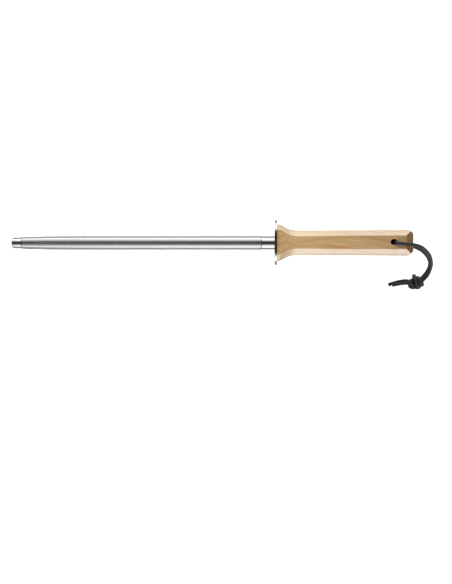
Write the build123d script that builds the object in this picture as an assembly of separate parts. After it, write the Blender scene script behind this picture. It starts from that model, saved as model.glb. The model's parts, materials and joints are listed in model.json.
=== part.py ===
from build123d import *
import math
import os

os.makedirs("parts", exist_ok=True)

# Butcher's sharpening steel lying on a table, rod tip to -X, handle to +X.
# It rests on the lower edge of its guard and on the rod tip, so the rod slopes down to the tip.
# Everything is in millimetres. The tool is drawn level first, along X, with the tip-side face of
# the guard at x = 0, and is then tilted and set down on the table at z = 0.

# Rod
rod_length = 250.0
tip_diameter = 10.4
tip_length = 10.0
tip_dome_radius = 8.2
tip_rest_from_end = 1.9
step_length = 0.5
flute_start_diameter = 11.1
flute_shoulder_diameter = 12.5
flute_shoulder_from_tip = 36.0
flute_diameter = 12.8
flute_full_from_tip = 70.0
collar_diameter = 12.4
collar_length = 11.6
tang_diameter = 8.0
tang_length = 85.0
tang_chamfer = 1.5

# Guard
guard_size = 41.0
guard_thickness = 2.4
guard_corner_radius = 12.5
guard_edge_radius = 0.4

# Handle: square in section with broad corner chamfers, flared towards the guard
handle_length = 124.6
flare_size = 33.2
waist_size = 22.2
butt_size = 23.4
lip_length = 2.2
flare_length = 13.2
flare_round = 8.0
waist_round = 26.0
facet_width = 5.2
facet_edge_radius = 2.0
corner_share = 0.75
side_bevel_length = 3.6
side_bevel_depth = 3.8
face_bevel_length = 7.0
face_bevel_depth = 6.0
lace_hole_diameter = 5.8
lace_hole_from_butt = 18.5
lace_hole_chamfer = 0.5
hole_mouth_height = 11.67
tang_bore_diameter = 9.5
tang_bore_depth = 90.0

# Lace lanyard: the middle of the lace passes through the hole, both halves run down to a knot on
# the table, and two tails come out of the knot. Its solids are plain round tubes.
lace_diameter = 2.8
arc_share = 0.45
knot_length = 12.0
knot_width = 12.6
knot_height = 7.6
knot_edge_radius = 2.8
knot_turn = 16.0
knot_clearance = 0.2
knot_centre = (197.8, -35.7)

# The loop leaves the knot, climbs to the underside of the butt, goes up through the hole, lies
# along the top of the handle and comes down outside itself to the knot.
loop_route = [
    (199.2, -33.7, 4.2), (201.6, -31.9, 4.5), (204.1, -29.9, 5.0), (206.5, -27.1, 5.6), (208.5, -23.7, 6.4),
    (209.5, -19.8, 7.4), (209.3, -15.9, 8.6), (207.0, -11.7, 9.8), (203.5, -8.0, 10.9), (199.1, -5.0, 11.9),
    (194.2, -2.8, 12.8), (188.6, -1.5, 13.4), (182.4, -0.8, 13.7), (176.9, -0.3, 13.8), (172.5, 0.0, 13.9),
    (170.3, 0.0, 15.8), (170.0, 0.0, 19.8), (169.6, 0.0, 27.3), (169.1, -0.1, 34.7), (168.8, -0.2, 38.9),
    (170.7, -0.7, 40.7), (174.4, -1.4, 41.2), (180.0, -1.9, 41.4), (185.6, -2.5, 41.0), (190.9, -3.4, 38.9),
    (196.1, -5.2, 34.9), (201.0, -7.9, 29.6), (205.0, -11.3, 24.2), (207.7, -15.2, 19.2), (209.1, -18.9, 15.0),
    (209.4, -22.9, 11.6), (208.6, -27.0, 9.0), (206.9, -31.2, 7.2), (204.6, -34.9, 5.7), (201.9, -37.9, 4.7),
]
upper_tail_route = [
    (194.6, -34.6, 3.0), (191.2, -34.2, 2.9), (187.2, -34.0, 2.4), (182.6, -34.4, 1.8), (177.4, -35.8, 1.5),
    (171.9, -37.9, 1.5),
]
lower_tail_route = [
    (194.6, -37.9, 3.0), (191.0, -37.5, 2.9), (186.8, -37.3, 2.4), (182.0, -37.9, 1.8), (176.0, -39.6, 1.5),
]

guard_drop = guard_size / 2
rest_span = rod_length - tip_rest_from_end + guard_edge_radius
rest_angle = math.degrees(math.atan((guard_drop - tip_diameter / 2) / rest_span))
handle_end = guard_thickness + handle_length


def steel_rod():
    """Solid rod with a domed polished tip, a tapered working length, a plain collar and a tang."""
    tip_edge = -rod_length + tip_dome_radius - math.sqrt(tip_dome_radius**2 - (tip_diameter / 2) ** 2)
    flute_start = -rod_length + tip_length
    dome_mid_radius = tip_diameter / 4
    dome_mid = -rod_length + tip_dome_radius - math.sqrt(tip_dome_radius**2 - dome_mid_radius**2)
    with BuildPart() as rod:
        with BuildSketch(Plane.XY):
            with BuildLine():
                ThreePointArc((-rod_length, 0), (dome_mid, dome_mid_radius), (tip_edge, tip_diameter / 2))
                Polyline(
                    (tip_edge, tip_diameter / 2),
                    (flute_start, tip_diameter / 2),
                    (flute_start + step_length, flute_start_diameter / 2),
                    (-rod_length + flute_shoulder_from_tip, flute_shoulder_diameter / 2),
                    (-rod_length + flute_full_from_tip, flute_diameter / 2),
                    (-collar_length, flute_diameter / 2),
                    (-collar_length, collar_diameter / 2),
                    (0, collar_diameter / 2),
                    (0, tang_diameter / 2),
                    (tang_length - tang_chamfer, tang_diameter / 2),
                    (tang_length, tang_diameter / 2 - tang_chamfer),
                    (tang_length, 0),
                    (-rod_length, 0),
                )
            make_face()
        revolve(axis=Axis.X)
    return rod.part


def guard():
    """Flat plate with round corners and broken edges, bored for the tang."""
    with BuildPart() as plate:
        with BuildSketch(Plane.YZ):
            RectangleRounded(guard_size, guard_size, guard_corner_radius)
        extrude(amount=guard_thickness)
        fillet(plate.faces().filter_by(Axis.X).edges(), guard_edge_radius)
    return plate.part - turned_along_x(tang_diameter, 3 * guard_thickness, -guard_thickness)


def turned_along_x(diameter, length, start):
    """Plain cylinder on the tool's axis."""
    align = (Align.CENTER, Align.CENTER, Align.MIN)
    return Pos(start, 0, 0) * Rot(0, 90, 0) * Cylinder(diameter / 2, length, align=align)


def handle_outline(scale, inset, bevel_length, bevel_depth, flare_arc, waist_arc):
    """Closed outline of the handle on both sides of its axis, seen across one pair of its faces."""
    def reach(size):
        return scale * size / 2 - inset

    front = guard_thickness
    with BuildSketch(Plane.XY) as outline:
        with BuildLine():
            half = FilletPolyline(
                (front, reach(flare_size)),
                (front + lip_length, reach(flare_size)),
                (front + flare_length, reach(waist_size)),
                (handle_end - bevel_length, reach(butt_size)),
                radius=[flare_arc, waist_arc],
            )
            Polyline(half @ 1, (handle_end, reach(butt_size) - bevel_depth), (handle_end, 0), (front, 0), half @ 0)
        make_face()
        mirror(about=Plane.XZ)
    return outline.sketch


def along_the_handle(edge):
    """True for the edges between a face and a corner facet."""
    middle = edge.center()
    off_axis = max(abs(middle.Y), abs(middle.Z))
    return abs(edge.tangent_at(0.5).X) > 0.85 and off_axis > tang_bore_diameter and edge.length > 3


def handle():
    """Beech handle: four faces and four corner facets that follow the flare, bevelled at the butt."""
    slab = 2 * flare_size
    side = handle_outline(1, 0, side_bevel_length, side_bevel_depth, flare_round, waist_round)
    face = handle_outline(1, 0, face_bevel_length, face_bevel_depth, flare_round, waist_round)
    corner = handle_outline(
        math.sqrt(2), facet_width / math.sqrt(2), 1, 0, corner_share * flare_round, corner_share * waist_round)
    wood = extrude(side, slab, both=True)
    for outline, turn in ((face, 90), (corner, 45), (corner, -45)):
        wood &= Rot(turn, 0, 0) * extrude(outline, slab, both=True)
    wood = wood.fillet(facet_edge_radius, wood.edges().filter_by(along_the_handle))
    hole_x = handle_end - lace_hole_from_butt
    wood -= turned_along_x(tang_bore_diameter, tang_bore_depth, guard_thickness)
    wood -= Pos(hole_x, 0, 0) * Cylinder(lace_hole_diameter / 2, slab)
    hole_mouth = Pos(hole_x, 0, hole_mouth_height) * Cone(
        lace_hole_diameter / 2, lace_hole_diameter / 2 + 2 * lace_hole_chamfer, 2 * lace_hole_chamfer)
    wood -= hole_mouth
    wood -= hole_mouth.mirror(Plane.XY)
    return wood


def tang_epoxy():
    """Cured resin that fills the bore round the tang and past its end."""
    filling = turned_along_x(tang_bore_diameter, tang_bore_depth, guard_thickness)
    return filling - steel_rod()


def lace_tube(name, route):
    """Round tube along straight runs joined by the largest arcs that the runs allow."""
    points = [Vector(*point) for point in route]
    runs = [second - first for first, second in zip(points, points[1:])]
    radii = []
    for before, after in zip(runs, runs[1:]):
        half_turn = math.radians(before.get_angle(after)) / 2
        radii.append(arc_share * min(before.length, after.length) / math.tan(half_turn))
    path = FilletPolyline(*points, radius=radii)
    section = Plane(origin=path @ 0, z_dir=path % 0) * Circle(lace_diameter / 2)
    tube = sweep(section, path=path)
    ratio = tube.volume / (math.pi * lace_diameter**2 / 4 * path.length)
    print(name, "length", round(path.length, 1), "volume ratio", round(ratio, 4))
    print(name, "radii", [round(radius, 1) for radius in radii])
    return tube


def lace_knot():
    """Outer shape of the knot, a rounded block on the table."""
    block = Box(knot_length, knot_width, knot_height)
    block = fillet(block.edges(), knot_edge_radius)
    return Pos(*knot_centre, knot_clearance + knot_height / 2) * Rot(0, 0, knot_turn) * block


level = {"steel_rod": steel_rod(), "guard": guard(), "handle": handle(), "tang_epoxy": tang_epoxy()}
tilted = {name: Rot(0, -rest_angle, 0) * piece for name, piece in level.items()}
box = Compound(list(tilted.values())).bounding_box()
stand = Pos(-box.center().X, 0, -box.min.Z)
nodes = {name: stand * piece for name, piece in tilted.items()}

knot = lace_knot()
nodes["lace_knot"] = knot
nodes["lace_loop"] = lace_tube("lace_loop", loop_route) - knot
nodes["lace_tail_upper"] = lace_tube("lace_tail_upper", upper_tail_route) - knot
nodes["lace_tail_lower"] = lace_tube("lace_tail_lower", lower_tail_route) - knot

for name, piece in nodes.items():
    export_step(piece, f"parts/{name}.step")
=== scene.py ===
import json
import math
import random

import bpy
from mathutils import Matrix, Vector


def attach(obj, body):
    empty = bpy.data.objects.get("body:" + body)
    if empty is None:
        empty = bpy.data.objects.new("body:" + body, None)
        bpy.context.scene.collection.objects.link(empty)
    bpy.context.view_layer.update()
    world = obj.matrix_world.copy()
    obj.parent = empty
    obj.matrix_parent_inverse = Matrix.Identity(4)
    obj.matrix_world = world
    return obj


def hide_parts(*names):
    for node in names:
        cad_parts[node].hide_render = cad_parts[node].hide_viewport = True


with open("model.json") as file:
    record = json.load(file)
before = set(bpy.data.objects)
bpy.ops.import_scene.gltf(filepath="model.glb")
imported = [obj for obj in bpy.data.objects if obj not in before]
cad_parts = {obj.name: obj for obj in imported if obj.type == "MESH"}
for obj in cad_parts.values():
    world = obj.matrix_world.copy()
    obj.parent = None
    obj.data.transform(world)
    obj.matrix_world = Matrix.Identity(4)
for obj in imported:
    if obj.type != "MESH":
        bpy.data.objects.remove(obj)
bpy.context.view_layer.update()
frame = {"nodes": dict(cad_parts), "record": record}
record = frame["record"]
nodes = frame["nodes"]

# Lengths are in metres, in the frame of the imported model: the table is z = 0, the tool lies along X
# with the tip of its rod at -X, and the knotted lace lies on its -Y side. Materials and the rod use
# the tool's own axes instead: x runs from the tip-side face of the guard towards the butt.

MM = 0.001

seat = next(mount for mount in record["mounts"] if mount["name"] == "guard_seat")
tool_x = -Vector(seat["axis"]).normalized()
tool_y = Vector((0, 1, 0))
tool_z = tool_x.cross(tool_y)
tool_tilt = math.atan2(tool_x.z, tool_x.x)
guard_front = Vector((seat["pos_m"][0], 0, seat["pos_m"][2]))
tool_frame = Matrix((tool_x, tool_y, tool_z)).transposed().to_4x4()
tool_frame.translation = guard_front


# ---------------------------------------------------------------- camera

# The camera looks straight down from beside the guard, a fifth of a degree askew.
camera_from_guard = Vector((-0.0451, -0.0460, 0.7207))
camera_roll = 0.00374

camera_data = bpy.data.cameras.new("camera")
camera_data.sensor_width = 36.0
camera_data.lens = 47.61
camera_data.clip_start = 0.01
camera_data.clip_end = 20.0
camera = bpy.data.objects.new("camera", camera_data)
camera.location = guard_front + camera_from_guard
camera.rotation_euler = (0, 0, camera_roll)
bpy.context.scene.collection.objects.link(camera)
bpy.context.scene.camera = camera


# ---------------------------------------------------------------- node helpers

def new_material(name):
    """A material, its node tree and its Principled shader."""
    material = bpy.data.materials.new(name)
    material.use_nodes = True
    tree = material.node_tree
    return material, tree, tree.nodes["Principled BSDF"]


def put(tree, value, socket):
    """Joins an output to a socket, or sets the socket to a constant."""
    if isinstance(value, bpy.types.NodeSocket):
        tree.links.new(value, socket)
    else:
        socket.default_value = value


def node_of(tree, kind, settings=None, inputs=None):
    """A node with its settings, and its inputs by name or number."""
    node = tree.nodes.new(kind)
    for name, value in (settings or {}).items():
        setattr(node, name, value)
    for name, value in (inputs or {}).items():
        put(tree, value, node.inputs[name])
    return node


def maths(tree, operation, *values):
    """The result of one Math node."""
    node = node_of(tree, "ShaderNodeMath", {"operation": operation}, dict(enumerate(values)))
    return node.outputs[0]


def ramp(tree, value, low, high, bottom=0.0, top=1.0, kind="SMOOTHSTEP"):
    """bottom below low, top above high, and between the two in between."""
    node = node_of(tree, "ShaderNodeMapRange", {"interpolation_type": kind}, {
        "Value": value, "From Min": low, "From Max": high, "To Min": bottom, "To Max": top})
    return node.outputs[0]


def mixed(tree, factor, first, second, blend="MIX"):
    """A colour between two colours."""
    node = node_of(tree, "ShaderNodeMix", {"data_type": "RGBA", "blend_type": blend},
                   {0: factor, 6: first, 7: second})
    return node.outputs[2]


def grey(tree, value):
    """A grey of this brightness."""
    return node_of(tree, "ShaderNodeCombineColor", None, {0: value, 1: value, 2: value}).outputs[0]


def tool_place(tree):
    """Where a point of the surface is along the tool's own axes."""
    own = node_of(tree, "ShaderNodeTexCoord")
    level = node_of(tree, "ShaderNodeMapping", {"vector_type": "POINT"}, {"Vector": own.outputs["Object"]})
    level.inputs["Rotation"].default_value = (0, tool_tilt, 0)
    level.inputs["Location"].default_value = -(tool_frame.to_3x3().inverted() @ guard_front)
    return level.outputs[0]


def stretched(tree, where, stretch):
    """Coordinates stretched along each axis."""
    node = node_of(tree, "ShaderNodeVectorMath", {"operation": "MULTIPLY"}, {0: where})
    node.inputs[1].default_value = stretch
    return node.outputs[0]


def noise(tree, where, detail, roughness):
    """Noise with one feature to a unit of the coordinates given."""
    node = node_of(tree, "ShaderNodeTexNoise", None, {
        "Vector": where, "Scale": 1.0, "Detail": detail, "Roughness": roughness})
    return node.outputs["Fac"]


def bump(tree, shader, height, distance, strength=1.0):
    """Small relief on a shader's surface."""
    node = node_of(tree, "ShaderNodeBump", None, {
        "Height": height, "Distance": distance, "Strength": strength})
    put(tree, node.outputs[0], shader.inputs["Normal"])


def rgba(red, green, blue):
    """An opaque colour."""
    return (red, green, blue, 1.0)


# ---------------------------------------------------------------- materials

def rod_steel(collar_start, tip_end):
    """Bright steel, mirror polished on the collar and tip and finely scratched along the flutes."""
    material, tree, shader = new_material("rod_steel")
    where = tool_place(tree)
    along = node_of(tree, "ShaderNodeSeparateXYZ", None, {0: where}).outputs[0]
    edge = 0.3 * MM
    past_tip = ramp(tree, along, tip_end - edge, tip_end + edge)
    before_collar = ramp(tree, along, collar_start - edge, collar_start + edge, 1.0, 0.0)
    fluted = maths(tree, "MULTIPLY", past_tip, before_collar)
    streaks = noise(tree, stretched(tree, where, (30, 2500, 2500)), 3, 0.6)
    cloud = noise(tree, stretched(tree, where, (60, 250, 250)), 3, 0.5)
    tone = mixed(tree, cloud, rgba(0.352, 0.348, 0.345), rgba(0.366, 0.362, 0.359))
    scratched = maths(tree, "MULTIPLY", fluted, ramp(tree, streaks, 0.45, 0.75))
    worn = mixed(tree, scratched, tone, rgba(0.34, 0.336, 0.333))
    darker = mixed(tree, 1.0, worn, rgba(0.79, 0.79, 0.785), "MULTIPLY")
    put(tree, mixed(tree, fluted, worn, darker), shader.inputs["Base Color"])
    polish = ramp(tree, cloud, 0.3, 0.7, 0.045, 0.06)
    scratches = maths(tree, "MULTIPLY", fluted, ramp(tree, streaks, 0.3, 0.7, 0.08, 0.10))
    put(tree, maths(tree, "ADD", polish, scratches), shader.inputs["Roughness"])
    shader.inputs["Metallic"].default_value = 1.0
    bump(tree, shader, streaks, 0.0004 * MM)
    return material


def guard_steel():
    """Polished plate with the faint even brushing of its faces."""
    material, tree, shader = new_material("guard_steel")
    where = tool_place(tree)
    brushed = noise(tree, stretched(tree, where, (1500, 60, 2500)), 3, 0.6)
    cloud = noise(tree, stretched(tree, where, (120, 120, 120)), 3, 0.5)
    tone = mixed(tree, cloud, rgba(0.43, 0.43, 0.435), rgba(0.48, 0.48, 0.485))
    put(tree, tone, shader.inputs["Base Color"])
    put(tree, ramp(tree, brushed, 0.3, 0.7, 0.05, 0.14), shader.inputs["Roughness"])
    shader.inputs["Metallic"].default_value = 1.0
    bump(tree, shader, brushed, 0.003 * MM)
    return material


def beech(butt):
    """Varnished beech: straight grain that sweeps aside towards the butt, a red tongue and dark end grain."""
    sweep_start = 50 * MM
    sweep_bend = 2.2
    butt_shade_start, butt_shade_end = 30 * MM, 112 * MM
    tongue_slope = 0.139
    tongue_line_at_guard = 5.0 * MM
    tongue_near_edge, tongue_far_edge = -7.8 * MM, -6.4 * MM
    end_grain_depth = 9 * MM

    material, tree, shader = new_material("varnished_beech")
    where = tool_place(tree)
    along, aside, up = node_of(tree, "ShaderNodeSeparateXYZ", None, {0: where}).outputs
    past_start = maths(tree, "MAXIMUM", maths(tree, "SUBTRACT", along, sweep_start), 0.0)
    sweep = maths(tree, "MULTIPLY", maths(tree, "POWER", past_start, 2.0), sweep_bend)
    grown = node_of(tree, "ShaderNodeCombineXYZ", None,
                    {0: along, 1: maths(tree, "ADD", aside, sweep), 2: up}).outputs[0]

    # The grain, from broad zones down to the dark flecks of beech
    zones = noise(tree, stretched(tree, grown, (9, 150, 150)), 2, 0.5)
    growth = noise(tree, stretched(tree, grown, (6, 90, 90)), 1, 0.4)
    rings = maths(tree, "SINE", maths(tree, "MULTIPLY", growth, 50.0))
    late = maths(tree, "POWER", maths(tree, "MULTIPLY_ADD", rings, 0.5, 0.5), 3.0)
    streak = noise(tree, stretched(tree, grown, (18, 520, 520)), 3, 0.55)
    fibre = noise(tree, stretched(tree, grown, (45, 1700, 1700)), 3, 0.6)
    flecks = noise(tree, stretched(tree, grown, (420, 3300, 3300)), 1, 0.5)
    light_zone, dark_zone = rgba(0.610, 0.400, 0.190), rgba(0.505, 0.300, 0.118)
    colour = mixed(tree, ramp(tree, zones, 0.35, 0.68, 0.0, 0.8), light_zone, dark_zone)
    colour = mixed(tree, maths(tree, "MULTIPLY", late, 0.55), colour, rgba(0.50, 0.285, 0.105))

    # Painted sheen: the facets and sides that face the side lamps are painted paler and greyer than the top
    # and bottom
    normal = node_of(tree, "ShaderNodeNewGeometry").outputs["Normal"]
    normal_y = node_of(tree, "ShaderNodeSeparateXYZ", None, {0: normal}).outputs[1]
    sideways = ramp(tree, maths(tree, "ABSOLUTE", normal_y), 0.3, 0.7, 0.0, 0.55)
    colour = mixed(tree, sideways, colour, rgba(0.54, 0.410, 0.270))

    streak_tone = grey(tree, ramp(tree, streak, 0.3, 0.7, 0.85, 1.14, "LINEAR"))
    colour = mixed(tree, 1.0, colour, streak_tone, "MULTIPLY")
    fibre_tone = grey(tree, ramp(tree, fibre, 0.25, 0.75, 0.90, 1.08, "LINEAR"))
    colour = mixed(tree, 1.0, colour, fibre_tone, "MULTIPLY")
    colour = mixed(tree, ramp(tree, flecks, 0.66, 0.76, 0.0, 0.35), colour, rgba(0.25, 0.13, 0.05))
    butt_tone = grey(tree, ramp(tree, along, butt_shade_start, butt_shade_end, 1.0, 0.84))
    colour = mixed(tree, 1.0, colour, butt_tone, "MULTIPLY")

    # A tongue of red heartwood on the top face, below a slanting line with a light rim
    from_line = maths(tree, "SUBTRACT", aside, tongue_line_at_guard)
    past_line = maths(tree, "MULTIPLY_ADD", along, tongue_slope, from_line)
    lengthwise = maths(tree, "MULTIPLY", ramp(tree, along, 38 * MM, 62 * MM),
                       ramp(tree, along, 79 * MM, 84 * MM, 1.0, 0.0))
    reach = maths(tree, "MULTIPLY", ramp(tree, up, 3 * MM, 5 * MM), lengthwise)
    under_line = maths(tree, "MULTIPLY", ramp(tree, past_line, -0.4 * MM, 0.3 * MM, 1.0, 0.0),
                       ramp(tree, aside, tongue_near_edge, tongue_far_edge))
    tongue = maths(tree, "MULTIPLY", reach, under_line)
    colour = mixed(tree, maths(tree, "MULTIPLY", tongue, 0.9), colour, rgba(0.49, 0.25, 0.098))
    along_line = maths(tree, "MULTIPLY", ramp(tree, past_line, 0.1 * MM, 0.5 * MM),
                       ramp(tree, past_line, 0.6 * MM, 1.3 * MM, 1.0, 0.0))
    rim = maths(tree, "MULTIPLY", reach, along_line)
    colour = mixed(tree, maths(tree, "MULTIPLY", rim, 0.7), colour, rgba(0.74, 0.50, 0.27))

    # End grain on the butt and its bevels
    facing = node_of(tree, "ShaderNodeVectorMath", {"operation": "DOT_PRODUCT"}, {0: normal})
    facing.inputs[1].default_value = tool_x
    at_butt = ramp(tree, along, butt - end_grain_depth, butt - end_grain_depth + 1 * MM)
    end_grain = maths(tree, "MULTIPLY", ramp(tree, facing.outputs["Value"], 0.40, 0.60), at_butt)
    pores = noise(tree, stretched(tree, where, (300, 1900, 1900)), 2, 0.6)
    end_colour = mixed(tree, pores, rgba(0.27, 0.118, 0.003), rgba(0.145, 0.060, 0.002))
    put(tree, mixed(tree, end_grain, colour, end_colour), shader.inputs["Base Color"])

    put(tree, ramp(tree, fibre, 0.2, 0.8, 0.30, 0.44), shader.inputs["Roughness"])
    shader.inputs["Specular IOR Level"].default_value = 0.8
    shader.inputs["Coat Weight"].default_value = 1.0
    shader.inputs["Coat Roughness"].default_value = 0.2
    bump(tree, shader, fibre, 0.03 * MM, 0.5)
    return material


def resin():
    """Cured resin, clouded by fine bubbles."""
    material, tree, shader = new_material("cured_resin")
    cloud = noise(tree, stretched(tree, tool_place(tree), (400, 400, 400)), 3, 0.5)
    put(tree, mixed(tree, cloud, rgba(0.42, 0.36, 0.22), rgba(0.30, 0.25, 0.14)), shader.inputs["Base Color"])
    put(tree, ramp(tree, cloud, 0.3, 0.7, 0.2, 0.35), shader.inputs["Roughness"])
    bump(tree, shader, cloud, 0.1 * MM)
    return material


def leather(hole, hole_reach, hole_top):
    """Waxed black lace leather with a fine grain and rubbed patches, matte inside the lace hole and painted
    near black there as painted shade.
    """
    material, tree, shader = new_material("black_lace_leather")
    own = node_of(tree, "ShaderNodeTexCoord").outputs["Object"]
    grain = noise(tree, stretched(tree, own, (1600, 1600, 1600)), 3, 0.6)
    patches = noise(tree, stretched(tree, own, (220, 220, 220)), 3, 0.6)
    place = node_of(tree, "ShaderNodeSeparateXYZ", None, {0: tool_place(tree)})
    from_hole = maths(tree, "ABSOLUTE", maths(tree, "SUBTRACT", place.outputs["X"], hole))
    hole_matte_and_painted_shade = maths(tree, "MULTIPLY", ramp(tree, from_hole, hole_reach - 0.3 * MM, hole_reach, 1.0, 0.0),
                   ramp(tree, place.outputs["Z"], hole_top, hole_top + 0.8 * MM, 1.0, 0.0))
    colour = mixed(tree, patches, rgba(0.013, 0.0120, 0.0112), rgba(0.038, 0.0335, 0.0305))
    # Painted shade: inside the hole the lace is painted near black, where the hole's shadow falls; the same
    # mask also makes it fully matte there
    put(tree, mixed(tree, hole_matte_and_painted_shade, colour, rgba(0.006, 0.006, 0.006)), shader.inputs["Base Color"])
    waxed = ramp(tree, patches, 0.3, 0.7, 0.40, 0.58)
    put(tree, maths(tree, "MAXIMUM", waxed, hole_matte_and_painted_shade), shader.inputs["Roughness"])
    shader.inputs["Specular IOR Level"].default_value = 0.35
    bump(tree, shader, grain, 0.10 * MM, 0.5)
    return material


# ---------------------------------------------------------------- mesh helpers

def mesh_object(name, vertices, faces, material):
    """A smooth-shaded object in the scene."""
    mesh = bpy.data.meshes.new(name)
    mesh.from_pydata([tuple(vertex) for vertex in vertices], [], faces)
    mesh.validate()
    for polygon in mesh.polygons:
        polygon.use_smooth = True
    piece = bpy.data.objects.new(name, mesh)
    bpy.context.scene.collection.objects.link(piece)
    piece.data.materials.append(material)
    return piece


def skin(rings):
    """Faces between equal closed rings of vertices, with an end face on the first and last."""
    size = len(rings[0])
    faces = []
    for ring in range(len(rings) - 1):
        here, there = ring * size, (ring + 1) * size
        for corner in range(size):
            after = (corner + 1) % size
            faces.append((here + corner, here + after, there + after, there + corner))
    faces.append(tuple(reversed(range(size))))
    faces.append(tuple(range((len(rings) - 1) * size, len(rings) * size)))
    return faces


# ---------------------------------------------------------------- the lace

lace_width = 3.3 * MM
lace_thickness = 2.5 * MM
lace_corner_radius = 0.9 * MM
lace_corner_steps = 5
lace_hole = 108.5 * MM
lace_hole_reach = 3.2 * MM
lace_hole_top = 11.4 * MM

# Each half of the lace, in millimetres: x, y, z, and the heading and rise in degrees of its width,
# which turns with it. The upper half climbs out of the middle of the hole, crosses the top of the
# handle and comes down outside; the lower half drops out of the hole, runs under the butt and stays
# inside and beneath.
upper_half = [
    (170.6, 0.6, 27.3, 90, 0), (170.6, 0.4, 34.7, 90, 0), (170.3, -0.5, 38.9, 90, 0),
    (171.8, -1.1, 40.7, 88, 0), (174.8, -1.5, 41.1, 86, 0), (180.0, -1.9, 41.3, 84, 4),
    (185.6, -2.5, 41.0, 82, 10), (190.9, -3.4, 38.9, 72, 18), (196.1, -5.2, 34.9, 60, 26),
    (201.0, -7.9, 29.6, 48, 38), (205.0, -11.3, 24.2, 35, 55), (207.7, -15.2, 19.2, 18, 70),
    (209.1, -18.9, 15.0, 4, 76), (209.4, -22.9, 11.6, -8, 70), (208.6, -27.0, 9.0, -24, 50),
    (206.4, -31.0, 7.2, -38, 25),
    # under both wraps to the lobe
    (203.8, -34.1, 5.4, -48, 8), (200.9, -36.2, 4.1, -72, 0), (197.5, -36.4, 3.9, -84, 0),
    (194.6, -36.3, 3.0, -55, 0), (193.7, -38.2, 2.6, -5, 0), (194.8, -40.2, 2.7, 45, 0),
    (197.4, -41.0, 2.7, 85, 0), (200.1, -41.0, 3.9, 130, 0),
    # the left wrap, over the top
    (199.7, -40.4, 6.2, 200, 0), (197.9, -37.9, 7.1, 216, 0), (196.4, -35.2, 7.3, 204, 0),
    (195.7, -32.1, 6.7, 190, 0), (195.4, -29.8, 4.9, 188, 0), (195.7, -29.5, 2.6, 186, 0),
    # back beneath, and out to the left
    (196.1, -32.0, 1.4, 182, 0), (196.0, -34.8, 1.4, 176, 0), (195.5, -36.4, 2.8, 140, 0),
    (193.6, -36.0, 4.8, 100, 0), (191.0, -35.2, 5.2, 92, 0), (188.4, -34.7, 3.8, 88, 0),
    (185.2, -34.8, 2.3, 92, 0), (181.4, -35.4, 1.5, 96, 0), (176.9, -36.7, 1.4, 104, 0),
    (171.7, -38.5, 1.4, 108, 0),
]
lower_half = [
    (170.6, 0.6, 27.3, 90, 0), (170.7, 0.8, 19.8, 90, 0), (170.7, 0.8, 15.8, 90, 0),
    (172.5, 0.7, 13.9, 90, 0), (176.9, 0.1, 13.7, 88, 0), (182.4, -0.6, 13.7, 86, 0),
    (188.6, -1.5, 13.4, 82, 0), (194.2, -2.8, 12.8, 72, 0), (199.1, -5.0, 11.9, 60, 0),
    (203.5, -8.0, 10.9, 48, 10), (207.0, -11.7, 9.8, 34, 40), (209.3, -15.9, 8.6, 14, 70),
    (209.5, -19.8, 7.4, -4, 75), (208.5, -23.7, 6.4, -16, 65), (206.6, -27.3, 5.6, -28, 45),
    (204.3, -30.4, 5.0, -38, 20),
    # under both wraps to the lobe
    (201.6, -32.7, 4.4, -52, 0), (198.8, -33.9, 3.9, -74, 0), (195.3, -33.6, 3.4, -88, 0),
    (192.4, -34.6, 2.4, -50, 0), (191.5, -37.6, 1.9, -4, 0), (192.4, -40.6, 1.7, 35, 0),
    (195.0, -41.3, 1.6, 80, 0), (198.3, -40.6, 1.6, 110, 0), (201.2, -39.4, 1.7, 118, 0),
    (203.4, -38.8, 2.6, 150, 0),
    # the right wrap, over the top
    (203.4, -37.9, 5.0, 200, 0), (202.1, -36.9, 6.8, 214, 0), (200.8, -35.2, 7.2, 212, 0),
    (199.7, -33.2, 6.7, 204, 0), (199.1, -31.5, 5.0, 198, 0), (199.0, -31.1, 2.8, 194, 0),
    # back beneath, and out to the left over the other tail
    (199.0, -33.2, 1.4, 186, 0), (198.7, -36.2, 1.4, 176, 0), (197.4, -38.4, 2.8, 140, 0),
    (195.0, -38.2, 4.9, 100, 0), (192.2, -37.3, 5.7, 90, 0), (189.2, -36.9, 5.2, 88, 0),
    (185.5, -37.0, 4.0, 92, 0), (181.3, -37.6, 3.2, 96, 0), (178.0, -38.2, 2.9, 100, 0),
    (175.0, -38.9, 2.6, 102, 0),
]
# How far to the side of the lace the second line runs that its width points at
twist_arm = 2 * MM
# The lace's size wavers this much either way, and follows a tenth of each new draw
waver = 0.25
waver_share = 0.1


def half_lace(half):
    """Control points of one half, in metres, and the direction of its width at each."""
    points = [Vector(point[:3]) * MM for point in half]
    ways = []
    for *_, heading, rise in half:
        turn, lift = math.radians(heading), math.radians(rise)
        level = math.cos(lift)
        ways.append(Vector((math.cos(turn) * level, math.sin(turn) * level, math.sin(lift))))
    return points, ways


def spline_line(points, steps=10):
    """Points along the smooth spline that these control points draw."""
    curve = bpy.data.curves.new("route", "CURVE")
    curve.dimensions = "3D"
    curve.resolution_u = steps
    spline = curve.splines.new("NURBS")
    spline.points.add(len(points) - 1)
    for control, point in zip(spline.points, points):
        control.co = (*point, 1.0)
    spline.order_u = 3
    spline.use_endpoint_u = True
    holder = bpy.data.objects.new("route", curve)
    bpy.context.scene.collection.objects.link(holder)
    mesh = bpy.data.meshes.new_from_object(holder.evaluated_get(bpy.context.evaluated_depsgraph_get()))
    line = [vertex.co.copy() for vertex in mesh.vertices]
    bpy.data.objects.remove(holder)
    bpy.data.curves.remove(curve)
    bpy.data.meshes.remove(mesh)
    return line


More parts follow.
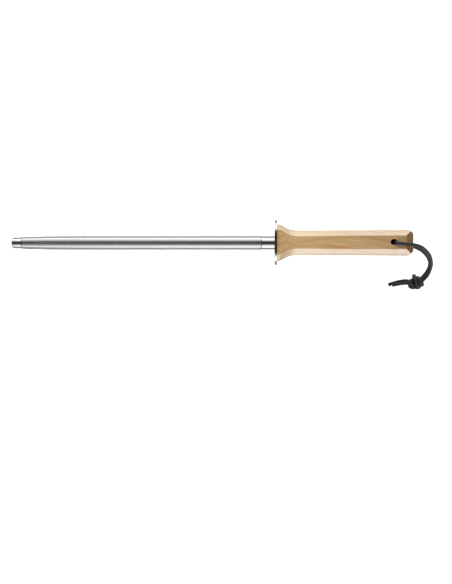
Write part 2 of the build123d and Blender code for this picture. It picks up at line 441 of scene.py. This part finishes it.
def lace_section():
    """Outline of the lace as (across, through) pairs: an oblong with round corners."""
    corner_across = lace_width / 2 - lace_corner_radius
    corner_through = lace_thickness / 2 - lace_corner_radius
    outline = []
    for quarter, (side, top) in enumerate(((1, 1), (-1, 1), (-1, -1), (1, -1))):
        for step in range(lace_corner_steps + 1):
            angle = math.radians(90 * (quarter + step / lace_corner_steps))
            outline.append((side * corner_across + lace_corner_radius * math.cos(angle),
                            top * corner_through + lace_corner_radius * math.sin(angle)))
    return outline


def lace_piece(name, half, material, chance):
    """A flat lace along its own spline, its width turning as the control points say."""
    points, ways = half_lace(half)
    line = spline_line(points)
    edge = spline_line([point + way * twist_arm for point, way in zip(points, ways)])
    outline = lace_section()
    rings = []
    swell = 0.0
    for index, centre in enumerate(line):
        along = (line[min(index + 1, len(line) - 1)] - line[max(index - 1, 0)]).normalized()
        across = edge[index] - centre
        across = (across - along * across.dot(along)).normalized()
        through = along.cross(across)
        swell = (1 - waver_share) * swell + waver_share * chance.uniform(-waver, waver)
        rings.append([centre + (across * width + through * depth) * (1 + swell) for width, depth in outline])
    piece = mesh_object(name, [vertex for ring in rings for vertex in ring], skin(rings), material)
    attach(piece, "root")
    return piece


lace_leather = leather(lace_hole, lace_hole_reach, lace_hole_top)
lace_chance = random.Random(7)
lace_upper = lace_piece("lace_upper_half", upper_half, lace_leather, lace_chance)
lace_lower = lace_piece("lace_lower_half", lower_half, lace_leather, lace_chance)
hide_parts("lace_loop", "lace_knot", "lace_tail_upper")
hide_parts("lace_tail_lower")


# ---------------------------------------------------------------- the rod

rod_length = 250 * MM
tip_radius = 5.2 * MM
tip_length = 10 * MM
tip_dome_radius = 8.2 * MM
step_length = 0.5 * MM
flute_start_radius = 5.55 * MM
flute_shoulder_radius = 6.25 * MM
flute_shoulder_from_tip = 36 * MM
flute_radius = 6.4 * MM
flute_full_from_tip = 70 * MM
collar_radius = 6.2 * MM
collar_length = 11.6 * MM
tang_radius = 4 * MM
tang_length = 85 * MM
tang_chamfer = 1.5 * MM

# An edge of the rod is a pair of rings this far apart.
crisp = 0.1 * MM
dome_steps = 6
dome_rim = 0.25 * MM

flute_count = 96
flute_depth = 0.027 * MM
groove_share = 0.15
flute_run_out = 1.2 * MM


def rod_outline():
    """(x, radius, groove depth) from the middle of the domed tip to the end of the tang."""
    tip = -rod_length
    dome_end = tip + tip_dome_radius - math.sqrt(tip_dome_radius ** 2 - tip_radius ** 2)
    taper_start = tip + tip_length + step_length
    shoulder = tip + flute_shoulder_from_tip
    stations = []
    for step in range(1, dome_steps + 1):
        radius = (tip_radius - dome_rim) * step / dome_steps
        stations.append((tip + tip_dome_radius - math.sqrt(tip_dome_radius ** 2 - radius ** 2), radius, 0))
    stations += [
        (dome_end + 0.05 * MM, tip_radius - 0.07 * MM, 0),
        (dome_end + dome_rim, tip_radius, 0),
        (tip + tip_length - crisp, tip_radius, 0),
        (tip + tip_length, tip_radius, 0),
        (taper_start, flute_start_radius, 0),
        (taper_start + flute_run_out, flute_start_radius + 0.04 * MM, flute_depth),
        (shoulder - 6 * MM, flute_shoulder_radius - 0.16 * MM, flute_depth),
        (shoulder, flute_shoulder_radius, flute_depth),
        (shoulder + 10 * MM, flute_shoulder_radius + 0.07 * MM, flute_depth),
        (tip + flute_full_from_tip, flute_radius, flute_depth),
        (-collar_length - flute_run_out, flute_radius, flute_depth),
        (-collar_length - crisp, flute_radius, 0),
        (-collar_length, collar_radius, 0),
        (-collar_length + crisp, collar_radius, 0),
        (-crisp, collar_radius, 0),
        (0, collar_radius, 0),
        (0, tang_radius, 0),
        (crisp, tang_radius, 0),
        (tang_length - tang_chamfer, tang_radius, 0),
        (tang_length, tang_radius - tang_chamfer, 0),
    ]
    return stations


def build_rod(material):
    """The rod with its real flutes: flat lands with a narrow groove between each two."""
    land_end = 1 - groove_share
    # (share of a flute's pitch, share of the groove's depth) across a land and then its groove
    flute = [(0.0, 0.0), (0.03, 0.0), (land_end / 2, 0.0), (land_end - 0.03, 0.0),
             (land_end, 0.08), (1 - groove_share * 0.56, 0.96), (1 - groove_share * 0.44, 0.96)]
    turns = [((count + share) / flute_count, depth) for count in range(flute_count) for share, depth in flute]
    rings = []
    for x, radius, groove in rod_outline():
        ring = []
        for turn, depth in turns:
            angle = 2 * math.pi * turn
            reach = radius - groove * depth
            ring.append(tool_frame @ Vector((x, reach * math.cos(angle), reach * math.sin(angle))))
        rings.append(ring)
    rod = mesh_object("rod_fluted", [vertex for ring in rings for vertex in ring], skin(rings), material)
    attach(rod, "root")
    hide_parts("steel_rod")


build_rod(rod_steel(-collar_length, tip_length - rod_length))


# ---------------------------------------------------------------- guard, handle and resin

def repaint(name, material):
    """Gives a CAD node this material and no other."""
    nodes[name].data.materials.clear()
    nodes[name].data.materials.append(material)


butt_end = 127 * MM
repaint("guard", guard_steel())
repaint("handle", beech(butt_end))
repaint("tang_epoxy", resin())


# ---------------------------------------------------------------- table and light

table_size = 40.0
table_drop = 0.2 * MM
table_glow = 0.8
studio_strength = 4.7


def table_top():
    """Plain pale table, lit from within for the camera only, so that it stays even and white."""
    material, tree, shader = new_material("pale_table")
    shader.inputs["Base Color"].default_value = rgba(0.8, 0.8, 0.8)
    shader.inputs["Roughness"].default_value = 0.9
    shader.inputs["Specular IOR Level"].default_value = 0.0
    shader.inputs["Emission Color"].default_value = rgba(1, 1, 1)
    rays = node_of(tree, "ShaderNodeLightPath")
    glow = maths(tree, "MULTIPLY", rays.outputs["Is Camera Ray"], table_glow)
    put(tree, glow, shader.inputs["Emission Strength"])
    return material


bpy.ops.mesh.primitive_plane_add(size=table_size, location=(0, 0, -table_drop))
table = bpy.context.object
table.name = "table"
table.data.materials.append(table_top())


def studio_light(strength):
    """Two great soft panels at the +Y and -Y sides, with a dark gap overhead between them."""
    world = bpy.data.worlds.new("studio")
    world.use_nodes = True
    tree = world.node_tree
    direction = node_of(tree, "ShaderNodeTexCoord").outputs["Generated"]
    sideways = node_of(tree, "ShaderNodeSeparateXYZ", None, {0: direction}).outputs[1]
    # (sideways part of the direction, share of full strength)
    stops = [(-0.98, 1.0), (-0.84, 0.5), (-0.62, 0.2), (-0.36, 0.04), (-0.05, 0.006),
             (0.24, 0.02), (0.515, 0.25), (0.77, 0.6), (0.94, 1.0)]
    band = node_of(tree, "ShaderNodeValToRGB", None, {0: ramp(tree, sideways, -1, 1, 0, 1, "LINEAR")})
    elements = band.color_ramp.elements
    for index, (place, share) in enumerate(stops):
        element = elements[index] if index < 2 else elements.new(1.0)
        element.position = (place + 1) / 2
        element.color = rgba(share, share, share)
    background = tree.nodes["Background"]
    put(tree, band.outputs[0], background.inputs["Color"])
    background.inputs["Strength"].default_value = strength
    bpy.context.scene.world = world


studio_light(studio_strength)
bpy.context.scene.view_settings.view_transform = "Standard"
